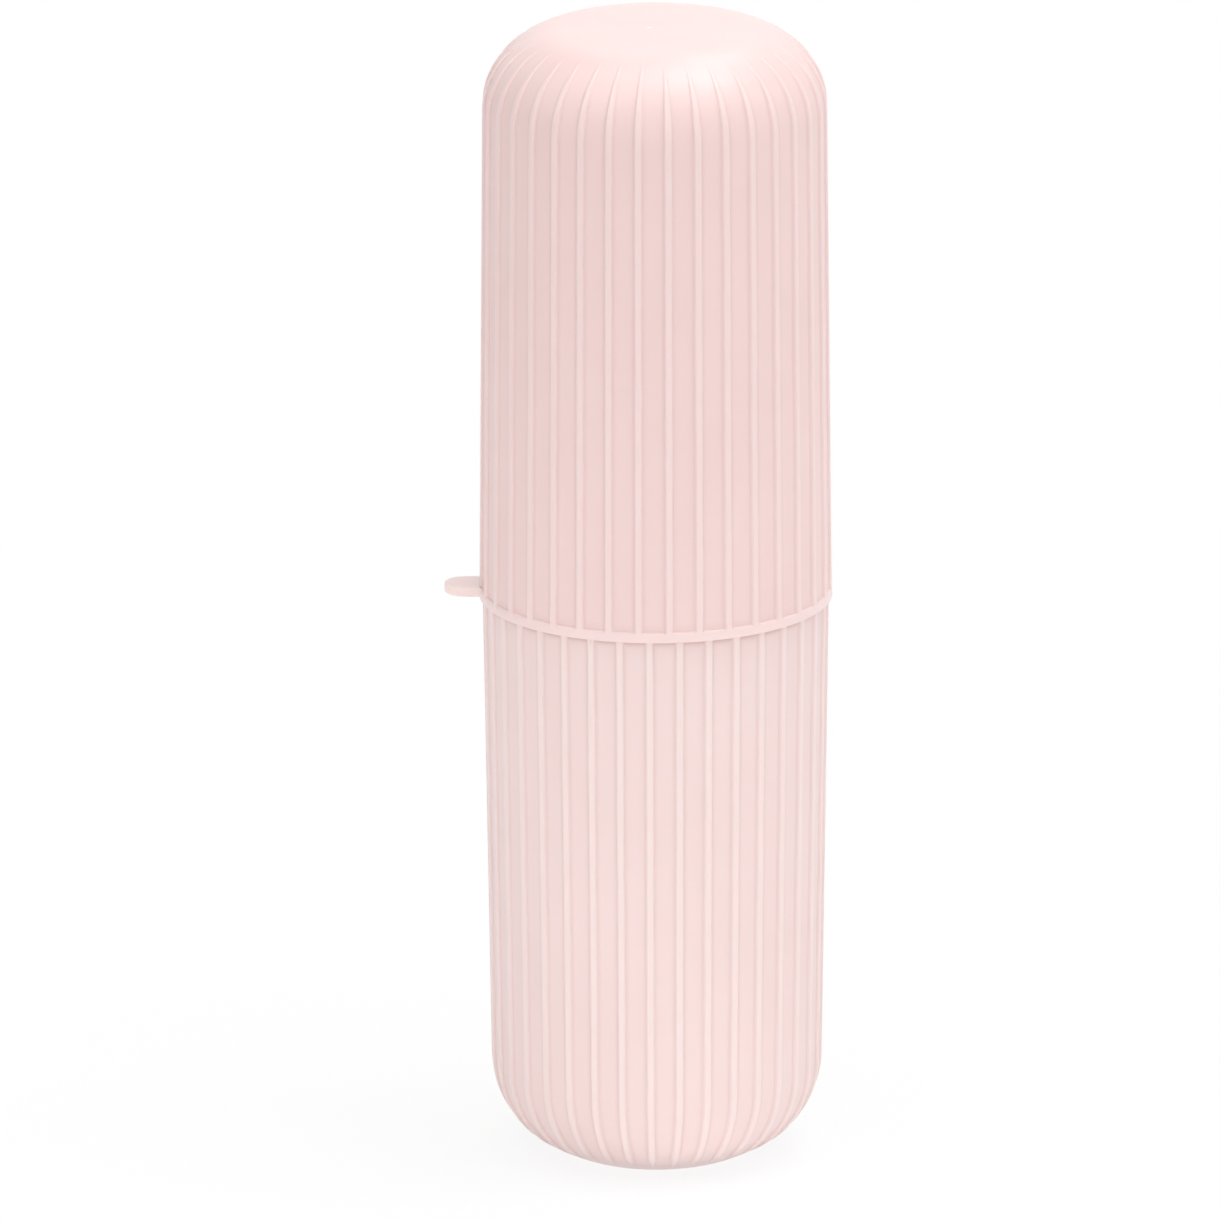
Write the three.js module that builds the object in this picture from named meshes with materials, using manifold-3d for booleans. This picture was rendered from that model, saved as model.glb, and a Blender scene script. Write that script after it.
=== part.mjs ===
import * as THREE from 'three';
import { mergeVertices } from 'three/addons/utils/BufferGeometryUtils.js';
import Module from 'manifold-3d';

// Travel toothbrush case: a ribbed plastic capsule in two mouldings, a cup and a push-on cover.
// Millimetres and degrees, +Z up. The origin is the middle of the cup's flat foot, and the tab
// on the cover points to -X.

// Rim band of the cover, the widest round of the case
const bandRadius = 31.0;
const bandHeight = 1.8;
const bandEdge = 0.3;

// Ribs, alike on both halves
const ribCount = 36;
const ribHeight = 0.45;
const ribCrest = 0.8;
const ribFlank = 0.48;
const ribTip = 0.25;

// Cover, measured from its rim to its flat top. Its draft is an angle, and its ribs fade out
// between two turns of the corner, from 0 on the wall to 90 on the top.
const coverHeight = 102.6;
const coverDraft = 0.58;
const coverCorner = 14.2;
const coverWall = 1.25;
const coverRoof = 1.5;
const coverFadeStart = 12;
const coverFadeEnd = 72;
const mouthChamfer = 0.3;

// Thumb tab on the band, a little above the rim
const tabReach = 6.1;
const tabWidth = 7.4;
const tabThickness = 1.7;
const tabLift = 0.35;

// Cup, measured from its foot to the shoulder that the cover rests on. Its corner is part of an
// ellipse that stops at the sweep, on the foot.
const cupHeight = 101.1;
const cupDraft = 0.81;
const cupCornerAcross = 20.5;
const cupCornerAlong = 18.5;
const cupCornerSweep = 68;
const cupCoreDraft = 0.5;
const cupFloor = 1.6;
const cupFadeStart = 40;
const cupFadeEnd = 60;
const bandOverhang = 0.6;

// Neck that the cover pushes over, with a low bead that grips it
const neckHeight = 11.0;
const neckWall = 1.1;
const neckLeadIn = 0.6;
const beadWidth = 1.6;
const beadLevel = 4.0;

// Clearances, and how far the cup is turned in the cover
const partingGap = 0.3;
const neckClearance = 0.25;
const beadClearance = 0.1;
const cupTurn = 3.5;

// Facets
const roundSegments = 72;
const cornerSteps = 8;
const coreCornerSteps = 6;
const tabSegments = 10;

const plasticPink = 0xf0d3cf;
const sideways = new THREE.Vector2(1, 0);

const wasm = await Module();
wasm.setup();

// Closed triangle mesh to solid, with shared corners merged
function toSolid(geometry) {
  const bare = new THREE.BufferGeometry();
  bare.setAttribute('position', geometry.getAttribute('position').clone());
  if (geometry.index) {
    bare.setIndex(geometry.index.clone());
  }
  const merged = mergeVertices(bare, 1e-5);
  const vertProperties = new Float32Array(merged.getAttribute('position').array);
  const triVerts = new Uint32Array(merged.index.array);
  return new wasm.Manifold(new wasm.Mesh({ numProp: 3, vertProperties, triVerts }));
}

// Solid back to a three.js geometry
function toGeometry(solid) {
  const { vertProperties, triVerts } = solid.getMesh();
  const geometry = new THREE.BufferGeometry();
  geometry.setAttribute('position', new THREE.BufferAttribute(new Float32Array(vertProperties), 3));
  geometry.setIndex(new THREE.BufferAttribute(new Uint32Array(triVerts), 1));
  geometry.computeVertexNormals();
  return geometry;
}

// Solid of revolution about Z. The profile is a list of radius and height, lowest first.
function revolve(profile) {
  const points = profile.map(([radius, height]) => new THREE.Vector2(radius, height));
  return toSolid(new THREE.LatheGeometry(points, roundSegments).rotateX(Math.PI / 2));
}

// Corner of a shell at the closed end of its drafted wall, turning through part of an ellipse.
// Each level holds its reach from the mouth, its radius, its outward slope and how far it has turned.
function shellCorner({ mouth, length, draft, across, along, sweep, steps }) {
  const lean = Math.tan(THREE.MathUtils.degToRad(draft));
  const straight = length - along * Math.sin(THREE.MathUtils.degToRad(sweep));
  const levels = [];
  for (let step = 0; step <= steps; step += 1) {
    const turned = (sweep * step) / steps;
    const angle = THREE.MathUtils.degToRad(turned);
    const reach = straight + along * Math.sin(angle);
    const radius = mouth - lean * reach - across * (1 - Math.cos(angle));
    const slope = new THREE.Vector2(Math.cos(angle) / across, Math.sin(angle) / along).normalize();
    levels.push({ reach, radius, slope, turned });
  }
  return levels;
}

// Ring of points at one level: each rib has a foot and a crest point on either side.
// `panel` and `crest` say how far the panels and the ribs stand up, as shares of the rib height.
function ribbedRing({ radius, height, slope, panel, crest, taper }) {
  const points = [];
  const ribFoot = ribCrest + 2 * ribFlank;
  const sides = [[-ribFoot, panel], [-ribCrest, crest], [ribCrest, crest], [ribFoot, panel]];
  for (let rib = 0; rib < ribCount; rib += 1) {
    const middle = ((rib + 0.5) / ribCount) * 2 * Math.PI;
    for (const [width, share] of sides) {
      const angle = middle + (width * taper) / (2 * radius);
      const raised = ribHeight * share;
      const outward = radius + slope.x * raised;
      points.push(outward * Math.cos(angle), outward * Math.sin(angle), height + slope.y * raised);
    }
  }
  return points;
}

// Station on a corner, where the ribs sink and narrow to a tip as the corner turns
function cornerStation({ radius, slope, turned }, height, fadeStart, fadeEnd) {
  const rise = 1 - THREE.MathUtils.smoothstep(turned, fadeStart, fadeEnd);
  return { radius, height, slope, panel: 0, crest: rise, taper: THREE.MathUtils.lerp(ribTip, 1, rise) };
}

// Solid between rings of equal count, lowest first, closed by a flat fan at each end
function loftRings(rings, lowest, highest) {
  const count = rings[0].length / 3;
  const positions = [...rings.flat(), 0, 0, lowest, 0, 0, highest];
  const lowCentre = rings.length * count;
  const highCentre = lowCentre + 1;
  const lastRing = (rings.length - 1) * count;
  const triangles = [];
  for (let point = 0; point < count; point += 1) {
    const next = (point + 1) % count;
    triangles.push(lowCentre, next, point);
    triangles.push(highCentre, lastRing + point, lastRing + next);
    for (let ring = 0; ring < lastRing; ring += count) {
      triangles.push(ring + point, ring + next, ring + count + next);
      triangles.push(ring + point, ring + count + next, ring + count + point);
    }
  }
  const geometry = new THREE.BufferGeometry();
  geometry.setAttribute('position', new THREE.Float32BufferAttribute(positions, 3));
  geometry.setIndex(triangles);
  return toSolid(geometry);
}

// Bore of the cover, which the neck of the cup follows with a clearance
const coverMouth = bandRadius - ribHeight - coverWall;
const coverLean = Math.tan(THREE.MathUtils.degToRad(coverDraft));
const coverBoreAt = (level) => coverMouth - coverLean * level;

// Flat tab with a half-round end, rooted in the band
function makeTab() {
  const outline = new THREE.Shape();
  const half = tabWidth / 2;
  const root = bandRadius - coverWall;
  const endCentre = bandRadius + tabReach - half;
  outline.moveTo(-root, half);
  outline.lineTo(-endCentre, half);
  outline.absarc(-endCentre, 0, half, Math.PI / 2, (3 * Math.PI) / 2, false);
  outline.lineTo(-root, -half);
  outline.closePath();
  const options = { depth: tabThickness, bevelEnabled: false, curveSegments: tabSegments };
  return toSolid(new THREE.ExtrudeGeometry(outline, options).translate(0, 0, tabLift));
}

// Cover with its rim at height 0: ribbed skin, rim band and tab, hollowed by a smooth core
function makeCover() {
  const rim = bandRadius - ribHeight;
  const corner = { across: coverCorner, along: coverCorner, sweep: 90 };
  const skin = { mouth: rim, length: coverHeight, draft: coverDraft, ...corner, steps: cornerSteps };
  const bandStation = (height, panel, crest) => (
    { radius: rim - coverLean * height, height, slope: sideways, panel, crest, taper: 1 }
  );
  const edgeShare = 1 - bandEdge / ribHeight;
  const stations = [
    bandStation(0, edgeShare, edgeShare),
    bandStation(bandEdge, 1, 1),
    bandStation(bandHeight - bandEdge, 1, 1),
    bandStation(bandHeight, 0, 1),
    ...shellCorner(skin).map((level) => cornerStation(level, level.reach, coverFadeStart, coverFadeEnd)),
  ];
  const body = loftRings(stations.map(ribbedRing), 0, coverHeight).add(makeTab());

  const hollow = coverHeight - coverRoof;
  const coreCorner = coverCorner - coverRoof;
  const coreShape = { across: coreCorner, along: coreCorner, sweep: 90, steps: coreCornerSteps };
  const levels = shellCorner({ mouth: coverMouth, length: hollow, draft: coverDraft, ...coreShape });
  const core = [
    [0, -partingGap],
    [coverMouth + mouthChamfer, -partingGap],
    [coverMouth + mouthChamfer, 0],
    [coverMouth, mouthChamfer],
    ...levels.map(({ reach, radius }) => [radius, reach]),
    [0, hollow],
  ];
  return toGeometry(body.subtract(revolve(core)));
}

// Cup with its foot at height 0: ribbed skin, shoulder and neck, hollowed by a smooth core
function makeCup() {
  const shoulder = bandRadius - bandOverhang - ribHeight;
  const corner = { across: cupCornerAcross, along: cupCornerAlong, sweep: cupCornerSweep };
  const skin = { mouth: shoulder, length: cupHeight, draft: cupDraft, ...corner, steps: cornerSteps };
  const cupStation = (level) => {
    const downward = { ...level, slope: new THREE.Vector2(level.slope.x, -level.slope.y) };
    return cornerStation(downward, cupHeight - level.reach, cupFadeStart, cupFadeEnd);
  };
  const stations = [
    { radius: shoulder, height: cupHeight, slope: sideways, panel: 0, crest: 1, taper: 1 },
    ...shellCorner(skin).map(cupStation),
  ];
  const body = loftRings(stations.reverse().map(ribbedRing), 0, cupHeight);

  const neckAt = (level, clearance) => [coverBoreAt(level - partingGap) - clearance, cupHeight + level];
  const neck = revolve([
    [0, cupHeight - neckWall],
    neckAt(-neckWall, neckClearance),
    neckAt(beadLevel - beadWidth / 2, neckClearance),
    neckAt(beadLevel - beadWidth / 4, beadClearance),
    neckAt(beadLevel + beadWidth / 4, beadClearance),
    neckAt(beadLevel + beadWidth / 2, neckClearance),
    neckAt(neckHeight - neckLeadIn, neckClearance),
    neckAt(neckHeight, neckClearance + neckLeadIn / 2),
    [0, cupHeight + neckHeight],
  ]);

  const mouth = coverBoreAt(neckHeight) - neckClearance - neckWall;
  const depth = cupHeight + neckHeight - cupFloor;
  const coreShape = { across: cupCornerAcross - cupFloor, along: cupCornerAlong - cupFloor };
  const coreEnd = { ...coreShape, sweep: cupCornerSweep, steps: coreCornerSteps };
  const levels = shellCorner({ mouth, length: depth, draft: cupCoreDraft, ...coreEnd });
  const top = cupHeight + neckHeight;
  const core = [
    [0, cupFloor],
    ...levels.map(({ reach, radius }) => [radius, top - reach]).reverse(),
    [mouth, top],
    [mouth, top + partingGap],
    [0, top + partingGap],
  ];
  return toGeometry(body.add(neck).subtract(revolve(core)));
}

// One moulded piece in satin plastic
function moulding(name, geometry) {
  const plastic = new THREE.MeshStandardMaterial({ color: plasticPink, roughness: 0.5, metalness: 0 });
  const mesh = new THREE.Mesh(geometry, plastic);
  mesh.name = name;
  return mesh;
}

const cup = moulding('cup', makeCup());
cup.rotation.z = THREE.MathUtils.degToRad(cupTurn);

const cover = moulding('cover', makeCover());
cover.position.z = cupHeight + partingGap;

const toothbrushCase = new THREE.Group();
toothbrushCase.name = 'toothbrush_case';
toothbrushCase.add(cup, cover);

export default toothbrushCase;
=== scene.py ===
import math

import bpy
import numpy as np
from mathutils import Matrix, Vector


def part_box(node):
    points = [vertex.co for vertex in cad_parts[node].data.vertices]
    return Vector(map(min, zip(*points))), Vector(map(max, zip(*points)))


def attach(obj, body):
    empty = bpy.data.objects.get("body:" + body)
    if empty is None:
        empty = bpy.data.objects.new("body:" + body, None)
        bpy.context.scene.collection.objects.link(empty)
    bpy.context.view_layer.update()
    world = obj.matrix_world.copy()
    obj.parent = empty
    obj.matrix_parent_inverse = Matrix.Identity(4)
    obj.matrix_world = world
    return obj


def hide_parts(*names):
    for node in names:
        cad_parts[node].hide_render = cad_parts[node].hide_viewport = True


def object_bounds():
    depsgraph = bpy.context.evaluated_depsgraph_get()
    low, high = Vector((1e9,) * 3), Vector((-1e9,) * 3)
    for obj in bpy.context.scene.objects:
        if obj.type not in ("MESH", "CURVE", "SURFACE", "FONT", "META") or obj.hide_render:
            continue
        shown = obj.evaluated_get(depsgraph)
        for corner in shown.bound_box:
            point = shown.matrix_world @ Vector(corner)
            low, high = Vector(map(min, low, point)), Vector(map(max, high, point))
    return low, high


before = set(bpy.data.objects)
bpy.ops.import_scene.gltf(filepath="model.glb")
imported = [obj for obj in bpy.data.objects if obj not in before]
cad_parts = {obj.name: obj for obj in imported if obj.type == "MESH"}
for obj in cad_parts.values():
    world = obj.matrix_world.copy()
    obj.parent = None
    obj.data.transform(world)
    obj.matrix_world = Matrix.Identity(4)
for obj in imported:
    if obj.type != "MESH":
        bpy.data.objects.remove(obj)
cadLow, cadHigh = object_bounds()
coverLow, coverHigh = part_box("cover")
cupLow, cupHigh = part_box("cup")
mm = 0.001  # sizes of the pieces are written in millimetres


# camera

cameraView = {
    "frame": 1220,  # pixels of the photograph, both ways
    "seamPixel": (655.8, 593.2),  # where the axis crosses the parting plane
    "pixelsPerMetre": 5696,  # at the axis
    "distance": 2.906,  # metres
    "elevation": 16.43,  # degrees, as the next two
    "azimuth": 0.8,
    "roll": -0.168,
    "sensor": 36,  # millimetres
    "clip": (0.05, 50),  # nearest and farthest that is seen, in metres
}


def addCamera(view):
    # looks at the parting plane on the axis, moved sideways so that the point falls on its pixel
    azimuth, elevation = math.radians(view["azimuth"]), math.radians(view["elevation"])
    level = math.cos(elevation)
    back = Vector((math.sin(azimuth) * level, -math.cos(azimuth) * level, math.sin(elevation)))
    lean = Matrix.Rotation(math.radians(view["roll"]), 3, back)
    right = lean @ Vector((math.cos(azimuth), math.sin(azimuth), 0))
    up = back.cross(right)
    middle = view["frame"] / 2
    alongX = (view["seamPixel"][0] - middle) / view["pixelsPerMetre"]
    alongY = (middle - view["seamPixel"][1]) / view["pixelsPerMetre"]
    data = bpy.data.cameras.new("photoCamera")
    data.sensor_width = view["sensor"]
    data.lens = view["sensor"] * view["pixelsPerMetre"] * view["distance"] / view["frame"]
    data.clip_start, data.clip_end = view["clip"]
    camera = bpy.data.objects.new("photoCamera", data)
    place = Vector((0, 0, coverLow.z)) + back * view["distance"] - right * alongX - up * alongY
    turn = Matrix((right, up, back)).transposed().to_4x4()
    camera.matrix_world = Matrix.Translation(place) @ turn
    bpy.context.scene.collection.objects.link(camera)
    bpy.context.scene.camera = camera
    print("camera: lens", round(data.lens, 1), "mm at", round(view["distance"], 2), "m")


addCamera(cameraView)


# surfaces

ribs = {
    "count": 36,
    "height": 0.45 * mm,
    "crest": 0.8 * mm,  # flat top of a rib
    "flank": 0.48 * mm,  # run of each rounded side
    "tip": 0.25,  # share of the width left where a rib fades out
    "leastRadius": 2 * mm,  # nearer the axis a rib keeps its angle, not its width
    "mostShare": 0.7,  # of the pitch that a rib may fill
    "crestCuts": 2,
    "flankCuts": 6,
    "panelCuts": 4,
    "panelGather": 1.5,  # power that draws a panel's points towards the rib
    "poleRing": 0.5 * mm,  # radius of the ring next to a pole
    "paintedShade": 0.14,  # strength of the painted shade along each rib's foot
    "paintedShadeWidth": 0.32 * mm,
    "cornerZone": (1.4, 2),  # on the flank, where a corner's painted shade starts and is full
}


def smoothStep(value, start, end):
    # 0 before start, 1 after end, and a cubic that is level at both ends between them
    share = np.clip((value - start) / (end - start), 0, 1)
    return share * share * (3 - 2 * share)


def arcShare(cuts):
    # sine and one minus cosine over a quarter turn
    turn = np.linspace(0, math.pi / 2, cuts + 1)
    return np.sin(turn), 1 - np.cos(turn)


def stationRows(radius, height, slopeR, slopeZ, panel, crest, taper, corner=0):
    # one row per ring: where the panel surface is, which way it faces, how far panels and ribs stand up
    # as shares of the rib height, how wide the ribs are, and how dark a corner's painted shade is on the
    # panels
    return np.column_stack(np.broadcast_arrays(radius, height, slopeR, slopeZ, panel, crest, taper, corner))


def smoothRows(radius, height):
    # rings with no ribs, for a mouth, bore, neck or lip
    return stationRows(radius, height, 1, 0, 0, 0, 1)


def shellCorner(mouth, length, draft, across, along, sweep, cuts):
    # radius = mouth - tan(draft) * reach - across * (1 - cos turn), reach = straight + along * sin turn
    turn = np.linspace(0, math.radians(sweep), cuts + 1)
    reach = length - along * math.sin(math.radians(sweep)) + along * np.sin(turn)
    radius = mouth - math.tan(math.radians(draft)) * reach - across * (1 - np.cos(turn))
    slope = np.column_stack([np.cos(turn) / across, np.sin(turn) / along])
    slope /= np.linalg.norm(slope, axis=1, keepdims=True)
    return reach, radius, slope[:, 0], slope[:, 1], np.degrees(turn)


def fadingRows(corner, fade, mouthHeight, way):
    # rings of a corner above the mouth, way 1, or below it, way -1, from its closed end to the wall;
    # the ribs sink and narrow to their tips by a smooth step of the corner's turn
    reach, radius, slopeR, slopeZ, turned = corner
    rise = 1 - smoothStep(turned, *fade)
    taper = ribs["tip"] + (1 - ribs["tip"]) * rise
    return stationRows(radius, mouthHeight + way * reach, slopeR, way * slopeZ, 0, rise, taper)[::-1]


def ribbedPoints(rows, turn):
    # around a ring each rib has three zones either side of its middle: crest, flank and panel;
    # a point stands off the panel surface, along its slope, by the rib height times a share that
    # falls from the crest's to the panel's by a smooth step over the flank
    radius, height, slopeR, slopeZ, panel, crest, taper, corner = rows.T[:, :, None]
    crestZone = np.arange(ribs["crestCuts"]) / ribs["crestCuts"]
    flankZone = 1 + np.arange(ribs["flankCuts"]) / ribs["flankCuts"]
    panelZone = 2 + (np.arange(ribs["panelCuts"] + 1) / ribs["panelCuts"]) ** ribs["panelGather"]
    half = np.concatenate([crestZone, flankZone, panelZone])
    zone = np.concatenate([-half[-2:0:-1], half])
    width = np.abs(zone)
    safeRadius = np.maximum(radius, ribs["leastRadius"])
    pitch = math.pi / ribs["count"]
    widest = ribs["mostShare"] * pitch / (ribs["crest"] / 2 + ribs["flank"])
    narrow = np.minimum(taper / safeRadius, widest)
    crestAngle, flankAngle = ribs["crest"] / 2 * narrow, ribs["flank"] * narrow
    panelAngle = pitch - crestAngle - flankAngle
    offset = crestAngle * np.clip(width, 0, 1) + flankAngle * np.clip(width - 1, 0, 1)
    offset = np.sign(zone) * (offset + panelAngle * np.clip(width - 2, 0, 1))
    share = crest + (panel - crest) * smoothStep(width, 1, 2)
    middles = (np.arange(ribs["count"]) + 0.5) * 2 * math.pi / ribs["count"] + turn
    angle = (middles[None, :, None] + offset[:, None, :]).reshape(len(rows), -1)
    foot = np.abs(offset) - crestAngle - flankAngle
    # painted shade: darker along each rib's foot and where a corner shades the panels
    stand = np.clip(crest - panel, 0, 1)
    paintedShade = ribs["paintedShade"] * stand * np.exp(-(foot * safeRadius / ribs["paintedShadeWidth"]) ** 2)
    paintedShade = np.maximum(paintedShade, corner * smoothStep(width, *ribs["cornerZone"]))
    paintedShade = np.tile(paintedShade, (1, ribs["count"]))
    share = np.tile(share, (1, ribs["count"]))
    outward = radius + slopeR * ribs["height"] * share
    points = np.stack([outward * np.cos(angle), outward * np.sin(angle),
                       height + slopeZ * ribs["height"] * share], axis=-1)
    return points, share, paintedShade


def gridFaces(rings, around):
    # quads between neighbouring rings, closed round the axis, numbered ring by ring
    ring, step = np.meshgrid(np.arange(rings - 1), np.arange(around), indexing="ij")
    nextStep = (step + 1) % around
    corners = [ring * around + step, (ring + 1) * around + step,
               (ring + 1) * around + nextStep, ring * around + nextStep]
    return np.stack(corners, axis=-1).reshape(-1, 4)


def fanFaces(pole, firstOfRing, around, flip):
    # triangles from a pole to one ring
    step = np.arange(around)
    ends = [firstOfRing + step, firstOfRing + (step + 1) % around]
    if flip:
        ends.reverse()
    return np.column_stack([np.full(around, pole), *ends])


def meshObject(name, points, quads, triangles):
    # whole arrays into one smooth mesh: loops, then where each face starts
    mesh = bpy.data.meshes.new(name)
    mesh.vertices.add(len(points))
    mesh.vertices.foreach_set("co", np.ascontiguousarray(points, np.float32).ravel())
    loops = np.concatenate([quads.ravel(), triangles.ravel()])
    sizes = np.concatenate([np.full(len(quads), 4), np.full(len(triangles), 3)])
    mesh.loops.add(len(loops))
    mesh.loops.foreach_set("vertex_index", loops.astype(np.int32))
    mesh.polygons.add(len(sizes))
    mesh.polygons.foreach_set("loop_start", np.concatenate([[0], np.cumsum(sizes)[:-1]]).astype(np.int32))
    mesh.polygons.foreach_set("use_smooth", np.ones(len(sizes), bool))
    mesh.update(calc_edges=True)
    mesh.validate()
    piece = bpy.data.objects.new(name, mesh)
    bpy.context.scene.collection.objects.link(piece)
    return piece


def setMask(piece, name, grid):
    # one number per point, which the material reads by name; a pole takes that of the ring beside it
    values = np.concatenate([grid.ravel(), [grid[0, 0], grid[-1, -1]]])
    layer = piece.data.attributes.new(name, "FLOAT", "POINT")
    layer.data.foreach_set("value", values.astype(np.float32))


def closedPiece(name, points, poles, crestGrid, paintedShadeGrid):
    # rings of points, closed round the axis and, at the first and last ring, by a fan to a pole
    rings, around = points.shape[:2]
    count = rings * around
    caps = [fanFaces(count, 0, around, False), fanFaces(count + 1, count - around, around, True)]
    allPoints = np.concatenate([points.reshape(-1, 3), poles])
    piece = meshObject(name, allPoints, gridFaces(rings, around), np.concatenate(caps))
    setMask(piece, "ribMask", crestGrid)
    setMask(piece, "paintedShadeMask", paintedShadeGrid)
    print(name, "built:", len(piece.data.polygons), "faces")
    return piece


# cover

cover = {
    "bandRadius": 31.0 * mm,
    "bandHeight": 1.8 * mm,
    "bandFillet": 0.13 * mm,  # where the panels meet the band's ledge
    "bandUpperRound": 0.80 * mm,  # height of the ledge's rounded edge
    "bandLowerRound": 0.10 * mm,
    "bandClear": 1.5 * mm,  # from the band to the wall's lowest ring
    "ledgeShade": 0.13,  # painted shade on the line where panels and ledge meet
    "draft": 0.58,  # degrees
    "corner": 14.2 * mm,
    "sweep": 90,  # degrees that the corner turns
    "fade": (12, 72),  # turn of the corner, in degrees, over which the ribs fade
    "wall": 1.25 * mm,
    "roof": 1.5 * mm,
    "mouthRound": 0.3 * mm,
    "topRings": 9,
    "cornerCuts": 26,
    "wallCuts": 6,
    "edgeCuts": 6,
    "boreCuts": 4,
    "coreCuts": 11,
    "roofRings": 3,
}


def makeCover():
    # flat top, corner and drafted wall with ribs; then the band, where quarter rounds bring the panels out
    # to the ribs and in again at the rim; then mouth, bore and roof, the same form less the wall, plain
    rim, top = coverLow.z, coverHigh.z
    height = top - rim
    panel = cover["bandRadius"] - ribs["height"]
    lean = math.tan(math.radians(cover["draft"]))
    bend = cover["corner"]
    skin = shellCorner(panel, height, cover["draft"], bend, bend, cover["sweep"], cover["cornerCuts"])
    cornerRows = fadingRows(skin, cover["fade"], rim, 1)
    reach, radius = skin[:2]
    flat = np.linspace(ribs["poleRing"], radius[-1], cover["topRings"] + 1)[:-1]
    flatRows = stationRows(flat, top, 0, 1, 0, 0, ribs["tip"])
    wallReach = np.linspace(reach[0], cover["bandHeight"] + cover["bandClear"], cover["wallCuts"] + 1)[1:]
    wallRows = stationRows(panel - lean * wallReach, rim + wallReach, 1, 0, 0, 1, 1)

    rise, drop = arcShare(cover["edgeCuts"])
    fillet = cover["bandFillet"]
    ledge = ribs["height"] - fillet
    ledgeFoot = panel - lean * cover["bandHeight"]
    ledgeTop = rim + cover["bandHeight"]
    filletShare = fillet * drop / ribs["height"]
    filletHeight = ledgeTop + fillet * (1 - rise)
    # the fillet's ring carries the ledge's painted shade
    filletRows = stationRows(ledgeFoot, filletHeight, 1, 0, filletShare, 1, 1, cover["ledgeShade"])
    ledgeShare = (fillet + ledge * rise) / ribs["height"]
    ledgeRows = stationRows(ledgeFoot, ledgeTop - cover["bandUpperRound"] * drop, 1, 0, ledgeShare, 1, 1)[1:]
    lower = cover["bandLowerRound"]
    lowerShare = 1 - lower * drop / ribs["height"]
    lowerRows = stationRows(panel, rim + lower * (1 - rise), 1, 0, lowerShare, lowerShare, 1)

    mouth = panel - cover["wall"]
    mouthRound = cover["mouthRound"]
    mouthRows = smoothRows(mouth + mouthRound * (1 - rise), rim + mouthRound * drop)
    hollow = height - cover["roof"]
    inner = cover["corner"] - cover["roof"]
    core = shellCorner(mouth, hollow, cover["draft"], inner, inner, cover["sweep"], cover["coreCuts"])
    reach, radius = core[:2]
    boreReach = np.linspace(mouthRound, reach[0], cover["boreCuts"] + 1)[1:-1]
    boreRows = smoothRows(mouth - lean * boreReach, rim + boreReach)
    roofRows = smoothRows(radius, rim + reach)
    roofFlat = np.linspace(radius[-1], ribs["poleRing"], cover["roofRings"] + 1)[1:]
    roofFlatRows = smoothRows(roofFlat, rim + hollow)

    rows = np.concatenate([flatRows, cornerRows, wallRows, filletRows, ledgeRows, lowerRows, mouthRows,
                           boreRows, roofRows, roofFlatRows])
    points, share, paintedShade = ribbedPoints(rows, 0)
    return closedPiece("cover_shell", points, [[0, 0, top], [0, 0, rim + hollow]], share, paintedShade)


# gate mark

gate = {
    "centre": (-0.88 * mm, -0.56 * mm),  # a little off the axis, as in the photograph
    "radius": 0.85 * mm,
    "height": 0.08 * mm,
    "sunk": 0.03 * mm,
    "rings": 10,
    "around": 32,
}


def makeGate():
    # low bell over a disc: height = peak - (peak + sunk) * smooth step of the radius, so that its rim lies
    # inside the top
    share = np.linspace(1 / gate["rings"], 1, gate["rings"])
    bell = gate["height"] - (gate["height"] + gate["sunk"]) * smoothStep(share, 0, 1)
    around = np.linspace(0, 2 * math.pi, gate["around"], endpoint=False)
    across = gate["radius"] * share[:, None]
    centreX, centreY = gate["centre"]
    height = np.broadcast_to(coverHigh.z + bell[:, None], (gate["rings"], gate["around"]))
    points = np.stack([centreX + across * np.cos(around), centreY + across * np.sin(around), height], axis=-1)
    poles = [[centreX, centreY, coverHigh.z + gate["height"]], [centreX, centreY, coverHigh.z - gate["sunk"]]]
    return closedPiece("cover_gate", points, poles, np.ones(height.shape), np.zeros(height.shape))


# tab

tab = {
    "reach": 6.1 * mm,
    "width": 7.4 * mm,
    "thickness": 1.7 * mm,
    "lift": 0.35 * mm,  # of the underside above the rim
    "rootFlare": 0.6 * mm,  # radius of the fillet where the sides meet the band
    "sunk": 0.7 * mm,  # how far the root goes into the band
    "edge": 0.22 * mm,
    "endCuts": 24,
    "flareCuts": 9,
    "edgeCuts": 5,
}


def tabOutline():
    # half-round end, straight sides, then a quarter-circle flare into the band, mirrored about the X axis
    half = tab["width"] / 2
    centre = cover["bandRadius"] + tab["reach"] - half
    flare = tab["rootFlare"]
    root = math.sqrt(cover["bandRadius"] ** 2 - (half + flare) ** 2)
    end = np.linspace(0, math.pi / 2, tab["endCuts"] + 1)
    endArc = np.column_stack([centre + half * np.cos(end), half * np.sin(end)])
    turn = np.linspace(0, math.pi / 2, tab["flareCuts"] + 1)
    flareArc = np.column_stack([root + flare * (1 - np.sin(turn)), half + flare * (1 - np.cos(turn))])
    inner = np.array([[root - tab["sunk"], half + flare]])
    side = np.concatenate([endArc, flareArc, inner])
    return np.concatenate([side, side[:0:-1] * [1, -1]]) * [-1, 1]


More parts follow.
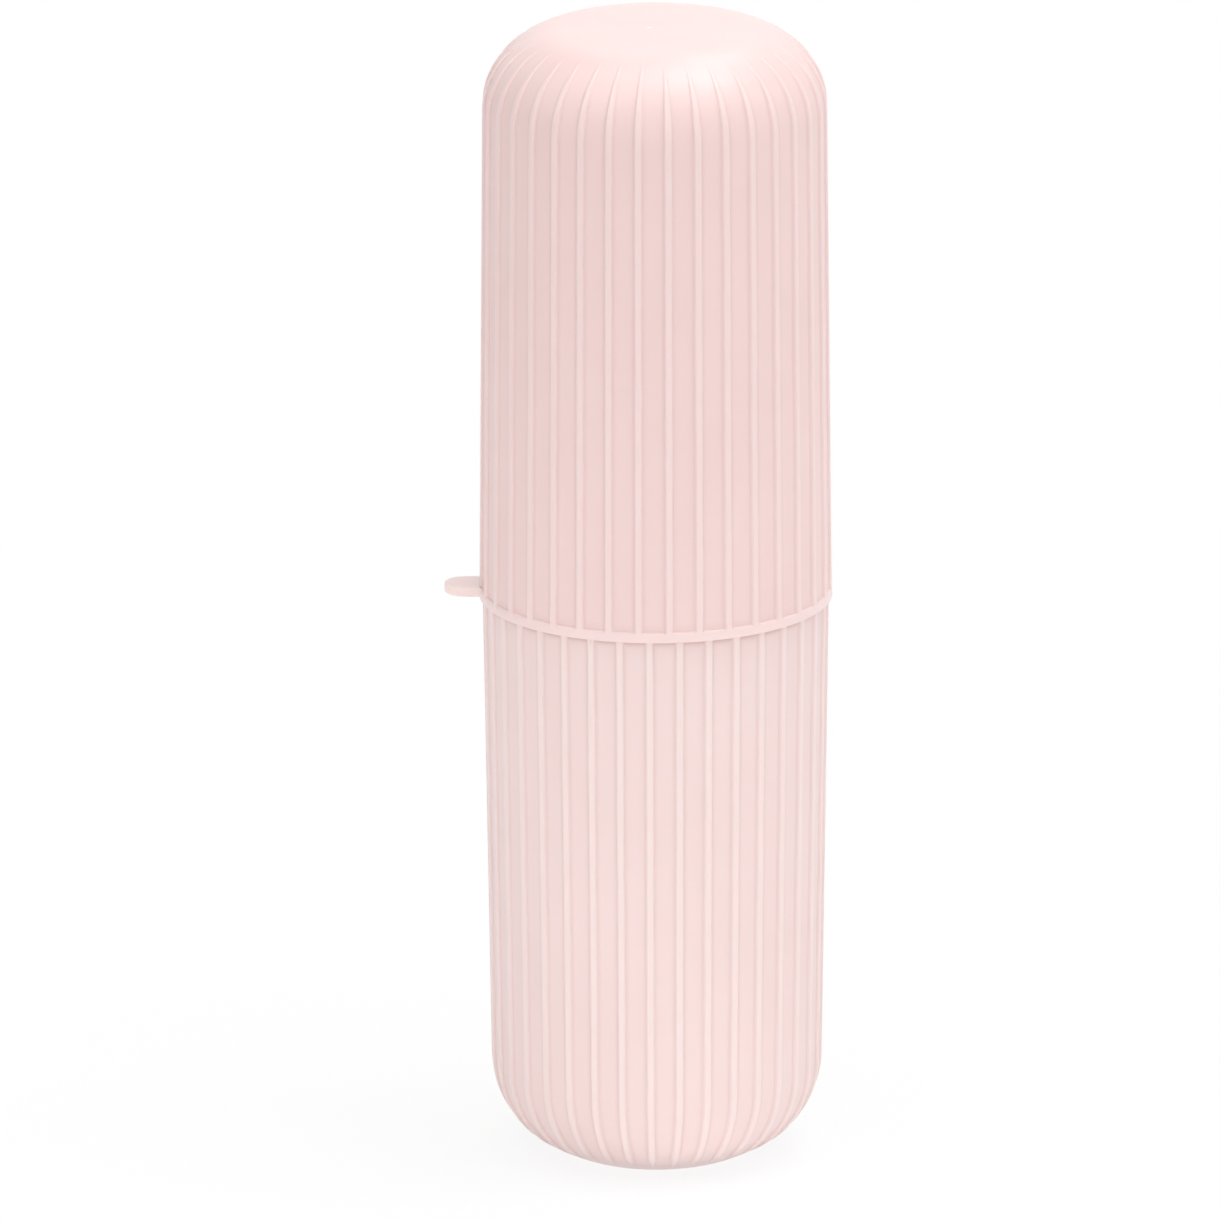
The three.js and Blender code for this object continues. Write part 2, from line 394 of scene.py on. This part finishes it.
def makeTab():
    # outline carried up a section with rounded edges, closed below and above by fans from the root
    outline = tabOutline()
    along = np.roll(outline, -1, axis=0) - np.roll(outline, 1, axis=0)
    along /= np.linalg.norm(along, axis=1, keepdims=True)
    outward = np.column_stack([-along[:, 1], along[:, 0]])
    low = coverLow.z + tab["lift"]
    high = low + tab["thickness"]
    rise, drop = arcShare(tab["edgeCuts"])
    inset = tab["edge"] * np.concatenate([1 - rise, drop])
    level = np.concatenate([low + tab["edge"] * drop, high - tab["edge"] * (1 - rise)])
    flat = outline[None, :, :] - outward[None, :, :] * inset[:, None, None]
    height = np.broadcast_to(level[:, None], flat.shape[:2])
    points = np.concatenate([flat, height[:, :, None]], axis=2)
    poles = [[-cover["bandRadius"], 0, low], [-cover["bandRadius"], 0, high]]
    return closedPiece("cover_tab", points, poles, np.ones(height.shape), np.zeros(height.shape))


# cup

cup = {
    "overhang": 0.6 * mm,  # how far the cover's band stands out past the ribs
    "shoulderGap": 0.1 * mm,  # to the cover's rim
    "shoulderRound": 0.12 * mm,
    "shade": 0.70,  # strength of the painted shade line under the band
    "shadeReach": 0.62 * mm,
    "shadeStart": 2.4 * mm,  # depth from which rings lie close for the painted shade
    "plainEnd": 4.0 * mm,  # depth where the wall's wider rings stop
    "draft": 0.81,  # degrees
    "cornerAcross": 20.5 * mm,
    "cornerAlong": 18.5 * mm,
    "sweep": 68,  # degrees that the corner turns
    "fade": (40, 60),  # turn of the corner, in degrees, over which the ribs fade
    "footPole": 0.4 * mm,  # radius of the foot's first ring
    "footEdge": 0.05 * mm,  # from its last ring to the corner
    "floor": 1.6 * mm,
    "coreDraft": 0.5,  # degrees
    "turn": 3.5,  # degrees that the cup is turned in the cover
    "neckWall": 1.1 * mm,
    "neckClearance": 0.25 * mm,
    "beadClearance": 0.1 * mm,
    "beadLevel": 4.0 * mm,
    "beadWidth": 1.6 * mm,
    "lipRound": 0.45 * mm,
    "footRings": 9,
    "cornerCuts": 26,
    "wallCuts": 5,
    "shadeRings": 9,
    "edgeCuts": 4,
    "neckRings": 3,
    "beadRings": 15,
    "boreCuts": 5,
    "coreCuts": 11,
    "floorRings": 3,
}


def makeCup():
    # flat foot, corner and drafted wall with ribs, up to the shoulder; then the neck, the cover's bore less a
    # clearance that a raised cosine narrows at the bead; then lip, bore and floor, plain
    base, neckTop = cupLow.z, cupHigh.z
    shoulder = coverLow.z - cup["shoulderGap"]
    panel = cover["bandRadius"] - cup["overhang"] - ribs["height"]
    lean = math.tan(math.radians(cup["draft"]))
    across, along = cup["cornerAcross"], cup["cornerAlong"]
    skin = shellCorner(panel, shoulder - base, cup["draft"], across, along, cup["sweep"], cup["cornerCuts"])
    cornerRows = fadingRows(skin, cup["fade"], shoulder, -1)
    reach, radius = skin[:2]
    foot = np.linspace(cup["footPole"], radius[-1] - cup["footEdge"], cup["footRings"])
    footRows = stationRows(foot, base, 0, -1, 0, 0, ribs["tip"])
    edge = cup["shoulderRound"]
    wallReach = np.concatenate([np.linspace(reach[0], cup["plainEnd"], cup["wallCuts"] + 1)[1:],
                                np.linspace(cup["shadeStart"], edge, cup["shadeRings"])])
    # painted shade under the band, fading down the wall
    shade = cup["shade"] * np.exp(-(wallReach / cup["shadeReach"]) ** 2)
    wallRows = stationRows(panel - lean * wallReach, shoulder - wallReach, 1, 0, 0, 1, 1, shade)
    rise, drop = arcShare(cup["edgeCuts"])
    edgeHeight = shoulder - edge * (1 - rise)
    edgeRows = stationRows(panel - edge * drop, edgeHeight, 1, 0, 0, 1, 1, cup["shade"])[1:]

    boreLean = math.tan(math.radians(cover["draft"]))
    mouth = cover["bandRadius"] - ribs["height"] - cover["wall"]
    neckHeight = neckTop - shoulder
    lip = cup["lipRound"]
    bead, beadWidth = cup["beadLevel"], cup["beadWidth"]
    level = np.concatenate([np.linspace(0, bead - beadWidth, cup["neckRings"]),
                            bead + np.linspace(-0.5, 0.5, cup["beadRings"]) * beadWidth,
                            np.linspace(bead + beadWidth, neckHeight - lip, cup["neckRings"])])
    swell = 0.5 + 0.5 * np.cos(np.clip((level - bead) / beadWidth, -0.5, 0.5) * 2 * math.pi)
    clearance = cup["neckClearance"] + (cup["beadClearance"] - cup["neckClearance"]) * swell
    neckRows = smoothRows(mouth - boreLean * level - clearance, shoulder + level)
    neckEnd = mouth - boreLean * neckHeight - cup["neckClearance"]
    lipRows = smoothRows(neckEnd - lip * drop, neckTop - lip * (1 - rise))[1:]
    bore = neckEnd - cup["neckWall"]
    innerLip = cup["neckWall"] - lip
    innerLipRows = smoothRows(bore + innerLip * (1 - rise), neckTop - innerLip * drop)[1:]

    hollow = neckTop - base - cup["floor"]
    across, along = cup["cornerAcross"] - cup["floor"], cup["cornerAlong"] - cup["floor"]
    core = shellCorner(bore, hollow, cup["coreDraft"], across, along, cup["sweep"], cup["coreCuts"])
    reach, radius = core[:2]
    coreLean = math.tan(math.radians(cup["coreDraft"]))
    boreReach = np.linspace(innerLip, reach[0], cup["boreCuts"] + 1)[1:-1]
    boreRows = smoothRows(bore - coreLean * boreReach, neckTop - boreReach)
    floorRows = smoothRows(radius, neckTop - reach)
    floorFlat = np.linspace(radius[-1], ribs["poleRing"], cup["floorRings"] + 1)[1:]
    floorFlatRows = smoothRows(floorFlat, base + cup["floor"])

    rows = np.concatenate([footRows, cornerRows, wallRows, edgeRows, neckRows, lipRows, innerLipRows,
                           boreRows, floorRows, floorFlatRows])[::-1]
    points, share, paintedShade = ribbedPoints(rows, math.radians(cup["turn"]))
    return closedPiece("cup_shell", points, [[0, 0, base + cup["floor"]], [0, 0, base]], share, paintedShade)


coverShell = makeCover()
coverTab = makeTab()
coverGate = makeGate()
cupShell = makeCup()


# plastic

noiseSpan = (0.3, 0.7)  # between which most of a noise texture lies
mouldNoise = {
    "flow": {"Detail": 3, "Roughness": 0.45},
    "spread": {"Detail": 2, "Scale": 210},
    "grain": {"Detail": 2, "Roughness": 0.6},
}


def newGroup(name, inputs, outputs):
    # empty shader group, each of whose sockets carries one number
    group = bpy.data.node_groups.new(name, "ShaderNodeTree")
    for way, sockets in (("INPUT", inputs), ("OUTPUT", outputs)):
        for socket in sockets:
            group.interface.new_socket(socket, in_out=way, socket_type="NodeSocketFloat")
    return group, group.nodes.new("NodeGroupInput"), group.nodes.new("NodeGroupOutput")


def mouldedGrain():
    # cloudy flow of the pigment, a spread of roughness, and the fine spark-eroded grain of the mould
    group, given, made = newGroup(
        "mouldedGrain", ["Flow Scale", "Grain Scale"], ["Flow", "Sheen Spread", "Grain"])
    place = group.nodes.new("ShaderNodeTexCoord")
    textures = {}
    for name, settings in mouldNoise.items():
        textures[name] = group.nodes.new("ShaderNodeTexNoise")
        for socket, value in settings.items():
            textures[name].inputs[socket].default_value = value
        group.links.new(place.outputs["Object"], textures[name].inputs["Vector"])
    group.links.new(given.outputs["Flow Scale"], textures["flow"].inputs["Scale"])
    group.links.new(given.outputs["Grain Scale"], textures["grain"].inputs["Scale"])
    for name, socket in (("flow", "Flow"), ("spread", "Sheen Spread"), ("grain", "Grain")):
        group.links.new(textures[name].outputs["Fac"], made.inputs[socket])
    return group


grainGroup = mouldedGrain()


def mapRange(material, source, low, high, fromLow=0.0, fromHigh=1.0):
    # straight line from the span of the source to low and high
    node = material.node_tree.nodes.new("ShaderNodeMapRange")
    node.inputs["From Min"].default_value, node.inputs["From Max"].default_value = fromLow, fromHigh
    node.inputs["To Min"].default_value, node.inputs["To Max"].default_value = low, high
    material.node_tree.links.new(source, node.inputs["Value"])
    return node.outputs["Result"]


def mixColor(material, factor, first, second):
    # first colour to second by the factor, each a written colour or another node's output
    node = material.node_tree.nodes.new("ShaderNodeMix")
    node.data_type = "RGBA"
    colours = [socket for socket in node.inputs if socket.type == "RGBA"]
    for socket, value in zip(colours, (first, second)):
        if isinstance(value, bpy.types.NodeSocket):
            material.node_tree.links.new(value, socket)
        else:
            socket.default_value = (*value, 1)
    material.node_tree.links.new(factor, node.inputs[0])
    return next(socket for socket in node.outputs if socket.type == "RGBA")


def pinkPlastic(name, finish):
    # satin plastic: pigment flow, paler on the crests as a painted highlight, darker by a mask of painted
    # shade, under a fine grain
    material = bpy.data.materials.new(name)
    material.use_nodes = True
    nodes, links = material.node_tree.nodes, material.node_tree.links
    shader = nodes["Principled BSDF"]
    shader.inputs["IOR"].default_value = finish["ior"]
    shader.inputs["Specular IOR Level"].default_value = finish["specular"]
    shader.inputs["Subsurface Weight"].default_value = finish["glow"]
    shader.inputs["Subsurface Radius"].default_value = finish["glowColor"]
    shader.inputs["Subsurface Scale"].default_value = finish["glowDepth"]
    grain = nodes.new("ShaderNodeGroup")
    grain.node_tree = grainGroup
    grain.inputs["Flow Scale"].default_value = finish["flowScale"]
    grain.inputs["Grain Scale"].default_value = finish["grainScale"]
    ribMask = nodes.new("ShaderNodeAttribute")
    ribMask.attribute_name = "ribMask"
    paintedShadeMask = nodes.new("ShaderNodeAttribute")
    paintedShadeMask.attribute_name = "paintedShadeMask"
    flow = mapRange(material, grain.outputs["Flow"], 0, 1, *noiseSpan)
    body = mixColor(material, flow, finish["flowDark"], finish["flowLight"])
    # painted highlight: paler where the rib mask is set
    crest = mapRange(material, ribMask.outputs["Fac"], 0, finish["crestShare"])
    crested = mixColor(material, crest, body, finish["crest"])
    # painted shade: rib feet, the ledge's line and the line under the band
    shaded = mixColor(material, paintedShadeMask.outputs["Fac"], crested, finish["paintedShade"])
    links.new(shaded, shader.inputs["Base Color"])
    rough = mapRange(material, grain.outputs["Sheen Spread"], *finish["roughness"], *noiseSpan)
    links.new(rough, shader.inputs["Roughness"])
    bump = nodes.new("ShaderNodeBump")
    bump.inputs["Strength"].default_value = finish["grainStrength"]
    bump.inputs["Distance"].default_value = finish["grainDepth"]
    links.new(grain.outputs["Grain"], bump.inputs["Height"])
    links.new(bump.outputs["Normal"], shader.inputs["Normal"])
    return material


coverFinish = {
    "flowDark": (0.856, 0.645, 0.624),
    "flowLight": (0.874, 0.668, 0.647),
    # painted highlight on the rib crests
    "crest": (0.896, 0.716, 0.698),
    "crestShare": 0.8,  # of the crest's colour on a full rib
    # painted shade at rib feet, on the ledge and under the band
    "paintedShade": (0.600, 0.370, 0.345),
    "roughness": (0.28, 0.35),
    "ior": 1.49,
    "specular": 0.65,
    "flowScale": 45.0,
    "grainScale": 2600.0,
    "grainStrength": 0.25,
    "grainDepth": 0.00004,
    "glow": 0.12,  # share of light that spreads under the surface
    "glowColor": (1.0, 0.55, 0.45),
    "glowDepth": 0.0012,
}
cupFinish = {
    **coverFinish,
    "flowDark": (0.850, 0.672, 0.652),
    "flowLight": (0.868, 0.695, 0.675),
    # painted highlight on the rib crests
    "crest": (0.895, 0.745, 0.725),
    "flowScale": 38.0,
}
tabFinish = {
    **coverFinish,
    # paler than the cover all over: painted light on a tab that the cover shades
    "crest": (0.925, 0.795, 0.775),
    "glow": 0.5,  # thin, so light comes through it
    "glowDepth": 0.0014,
}
gateFinish = {**coverFinish, "crest": (0.95, 0.86, 0.85)}  # paler disc over the gate mark

coverPlastic = pinkPlastic("coverPlastic", coverFinish)
tabPlastic = pinkPlastic("tabPlastic", tabFinish)
gatePlastic = pinkPlastic("gatePlastic", gateFinish)
cupPlastic = pinkPlastic("cupPlastic", cupFinish)

for piece, body, plastic, slot in (
        (coverShell, "cover", coverPlastic, "cover_plastic"),
        (coverTab, "cover", tabPlastic, "cover_plastic"),
        (coverGate, "cover", gatePlastic, "cover_plastic"),
        (cupShell, "cup", cupPlastic, "cup_plastic")):
    piece.data.materials.append(plastic)
    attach(piece, body)
    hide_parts(body)


# studio, in metres and watts

studio = {
    "floorHalf": 6.0,
    "floorShift": 1.0,  # back from the foot, so that no edge inside the sheet lies under it
    "floorGap": 0.0002,  # under the foot
    "floorColor": (0.95, 0.95, 0.95, 1),
    "floorRoughness": 0.9,
    "floorSpecular": 0.1,
    "floorGlow": (0.86, 1.0),  # share of plain white that the camera sees, at the foot and far from it
    "floorGlowReach": (0.06, 0.40),
    "footGlow": (0.7, 0.0),  # the sheet also lights the underside, which stands on it
    "footGlowReach": (0.0145, 0.021),
    "worldColor": (1.0, 0.99, 0.985, 1),
    "worldStrength": 0.30,
    "glareHeight": 1.0,  # lamps below this would only glare in the flat top
    "lamps": (  # name, place, target height, size, power
        ("topLamp", (0.00, -0.388, 1.549), 0.10, 2.20, 8.2),
        ("leftTopLamp", (-0.906, -0.330, 1.249), 0.10, 1.80, 5.0),
        ("rightTopLamp", (0.65, -0.375, 1.399), 0.10, 1.80, 3.8),
        ("rightHighLamp", (0.388, 0.00, 1.549), 0.10, 0.90, 3.4),
        ("rightLamp", (0.75, 0.00, 1.399), 0.10, 1.40, 2.8),
        ("rightLowLamp", (1.299, 0.00, 0.850), 0.10, 0.40, 1.25),
        ("rightFrontLamp", (0.919, -0.919, 0.850), 0.10, 0.36, 0.7),
        ("frontLamp", (0.00, -1.449, 0.488), 0.10, 0.85, 2.3),
        ("backRightLamp", (1.025, 1.025, 0.488), 0.10, 0.85, 1.3),
        ("highlightLamp", (0.368, 0.754, 1.344), 0.10, 0.46, 1.4),
        ("backTopLamp", (0.00, 1.061, 1.161), 0.10, 0.90, 0.67),
        ("leftCardLamp", (-0.12, -0.15, 0.006), 0.02, 0.20, 0.064),
        ("rightCardLamp", (0.12, -0.15, 0.006), 0.02, 0.20, 0.031),
        ("footLamp", (0.02, -0.092, 0.001), 9.00, 0.14, 0.0076),  # lies on the floor and faces up
    ),
}


def mathValue(tree, operation, first, second):
    # one sum on two other nodes' outputs
    node = tree.nodes.new("ShaderNodeMath")
    node.operation = operation
    tree.links.new(first, node.inputs[0])
    tree.links.new(second, node.inputs[1])
    return node.outputs[0]


def mixShaders(tree, factor, first, second):
    # first shader to second by the factor
    node = tree.nodes.new("ShaderNodeMixShader")
    for source, socket in zip((factor, first, second), node.inputs):
        tree.links.new(source, socket)
    return node.outputs[0]


def seenDirectly(tree):
    # 1 for rays from the camera, from a reflection or through glass, else 0
    light = tree.nodes.new("ShaderNodeLightPath")
    total = light.outputs["Is Camera Ray"]
    for kind in ("Is Glossy Ray", "Is Transmission Ray"):
        total = mathValue(tree, "MAXIMUM", total, light.outputs[kind])
    return total


def addFloor():
    # white sheet that keeps the shadow near the foot and fades to plain white away from it
    half, shift = studio["floorHalf"], studio["floorShift"]
    level = cadLow.z - studio["floorGap"]
    corners = np.array([[-half, shift - half, level], [half, shift - half, level],
                        [half, shift + half, level], [-half, shift + half, level]])
    floor = meshObject("floor", corners, np.array([[0, 1, 2, 3]]), np.zeros((0, 3), int))
    material = bpy.data.materials.new("paleFloor")
    material.use_nodes = True
    tree = material.node_tree
    sheet = tree.nodes["Principled BSDF"]
    sheet.inputs["Base Color"].default_value = studio["floorColor"]
    sheet.inputs["Roughness"].default_value = studio["floorRoughness"]
    sheet.inputs["Specular IOR Level"].default_value = studio["floorSpecular"]
    glow = tree.nodes.new("ShaderNodeEmission")
    place = tree.nodes.new("ShaderNodeTexCoord")
    distance = tree.nodes.new("ShaderNodeVectorMath")
    distance.operation = "LENGTH"
    tree.links.new(place.outputs["Object"], distance.inputs[0])
    away = mapRange(material, distance.outputs["Value"], *studio["floorGlow"], *studio["floorGlowReach"])
    away.node.interpolation_type = "SMOOTHSTEP"
    seen = mathValue(tree, "MULTIPLY", seenDirectly(tree), away)
    under = mapRange(material, distance.outputs["Value"], *studio["footGlow"], *studio["footGlowReach"])
    lit = mixShaders(tree, mathValue(tree, "MAXIMUM", seen, under), sheet.outputs[0], glow.outputs[0])
    clear = tree.nodes.new("ShaderNodeBsdfTransparent")
    side = tree.nodes.new("ShaderNodeNewGeometry")
    oneSided = mixShaders(tree, side.outputs["Backfacing"], lit, clear.outputs[0])
    tree.links.new(oneSided, tree.nodes["Material Output"].inputs["Surface"])
    floor.data.materials.append(material)


def addLamps():
    # round soft boxes, each turned to a point on the axis
    for name, place, target, size, power in studio["lamps"]:
        data = bpy.data.lights.new(name, "AREA")
        data.shape, data.size, data.energy = "DISK", size, power
        lamp = bpy.data.objects.new(name, data)
        lamp.location = place
        aim = Vector((0, 0, target)) - Vector(place)
        lamp.rotation_euler = aim.to_track_quat("-Z", "Y").to_euler()
        lamp.visible_camera = False
        lamp.visible_glossy = place[2] > studio["glareHeight"]
        bpy.context.scene.collection.objects.link(lamp)


def addWorld():
    # plain grey to light by, plain white where the camera or a reflection sees it
    world = bpy.data.worlds.new("studioWorld")
    world.use_nodes = True
    tree = world.node_tree
    background = tree.nodes["Background"]
    background.inputs["Color"].default_value = studio["worldColor"]
    background.inputs["Strength"].default_value = studio["worldStrength"]
    white = tree.nodes.new("ShaderNodeBackground")
    white.inputs["Color"].default_value = (1, 1, 1, 1)
    both = mixShaders(tree, seenDirectly(tree), background.outputs[0], white.outputs[0])
    tree.links.new(both, tree.nodes["World Output"].inputs["Surface"])
    bpy.context.scene.world = world


addFloor()
addLamps()
addWorld()
bpy.context.scene.view_settings.view_transform = "Standard"
print("studio set")
